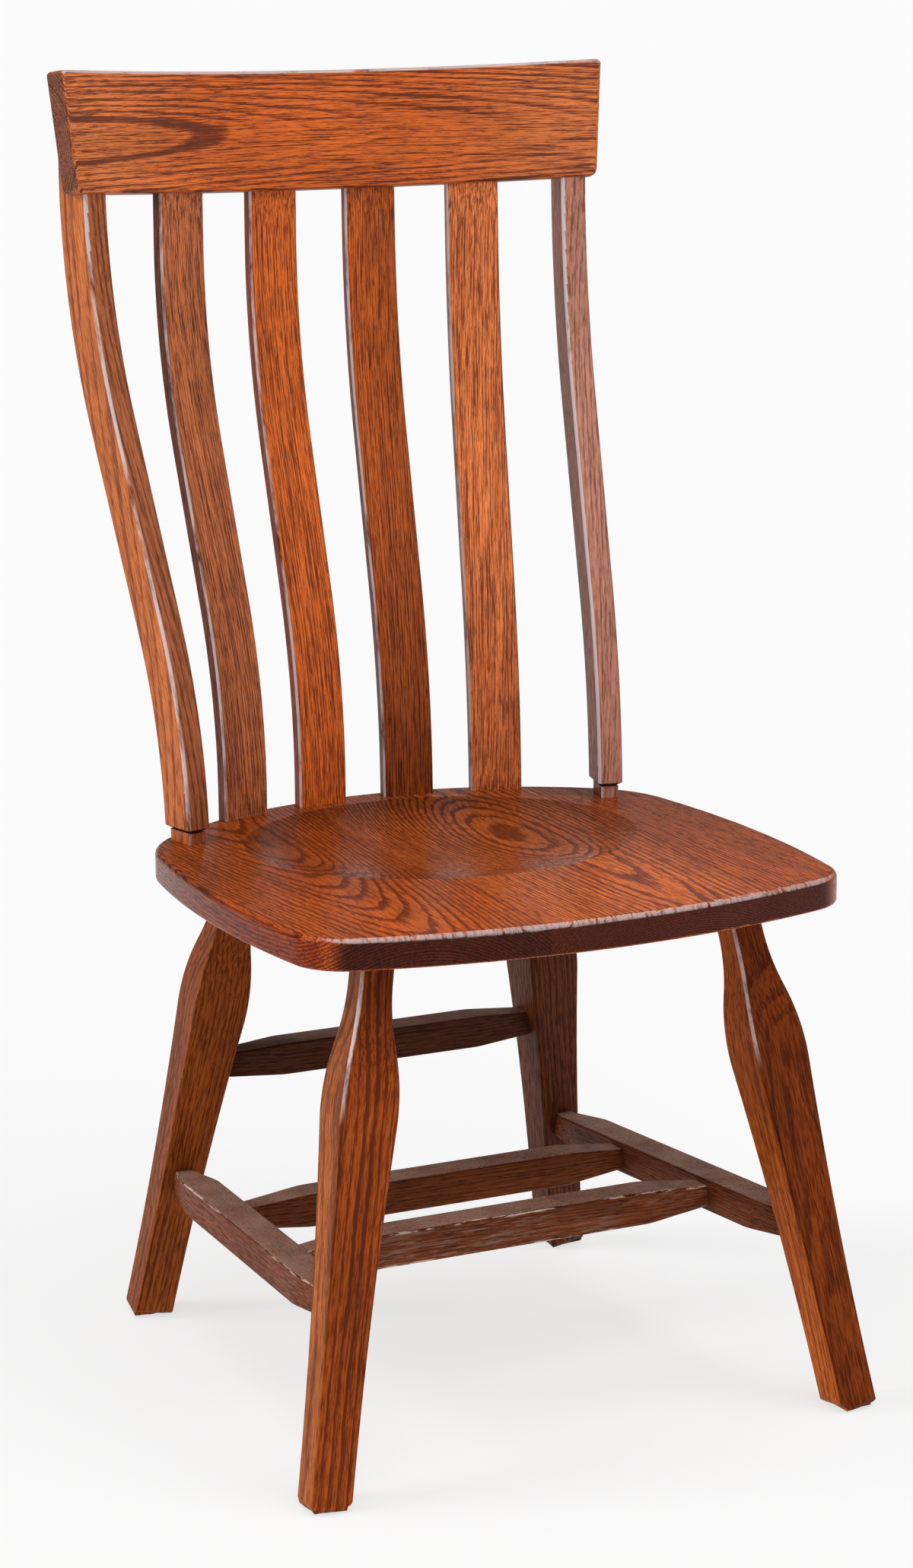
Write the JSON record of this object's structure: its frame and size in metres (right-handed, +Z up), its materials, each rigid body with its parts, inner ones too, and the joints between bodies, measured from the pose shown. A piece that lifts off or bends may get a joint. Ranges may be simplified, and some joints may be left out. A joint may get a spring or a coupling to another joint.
{
  "type": "side chair",
  "caption": "Wooden side chair with a hollowed plank seat, curved crest rail on posts and flat slats, and tapered square legs joined by stretchers.",
  "frame": {"origin": "on the floor, under the middle of the chair's overall length and width", "axes": "+Z up, front of the chair towards -Y, +X to the right of someone who looks at its front"},
  "size_m": [0.52, 0.5744, 1.0992],
  "materials": {
    "seat_wood": "satin lacquer over reddish-brown stain",
    "leg_wood": "satin lacquer over reddish-brown stain",
    "stretcher_wood": "satin lacquer over reddish-brown stain",
    "back_wood": "satin lacquer over reddish-brown stain",
    "crest_wood": "satin lacquer over reddish-brown stain",
    "screw_steel": "zinc plated",
    "glide_plastic": "matt"
  },
  "bodies": {
    "root": {"seat_board_1": "seat_wood", "seat_board_2": "seat_wood", "seat_board_3": "seat_wood", "leg_front_left": "leg_wood", "leg_front_right": "leg_wood", "leg_rear_left": "leg_wood", "leg_rear_right": "leg_wood", "stretcher_left": "stretcher_wood", "stretcher_right": "stretcher_wood", "stretcher_front_cross": "stretcher_wood", "stretcher_rear_cross": "stretcher_wood", "stretcher_back": "stretcher_wood", "slat_1": "back_wood", "slat_2": "back_wood", "slat_3": "back_wood", "slat_4": "back_wood", "post_left": "back_wood", "post_right": "back_wood", "crest_rail": "crest_wood", "screw_plugs": "crest_wood", "crest_screws": "screw_steel", "floor_glides": "glide_plastic"}
  },
  "joints": []
}
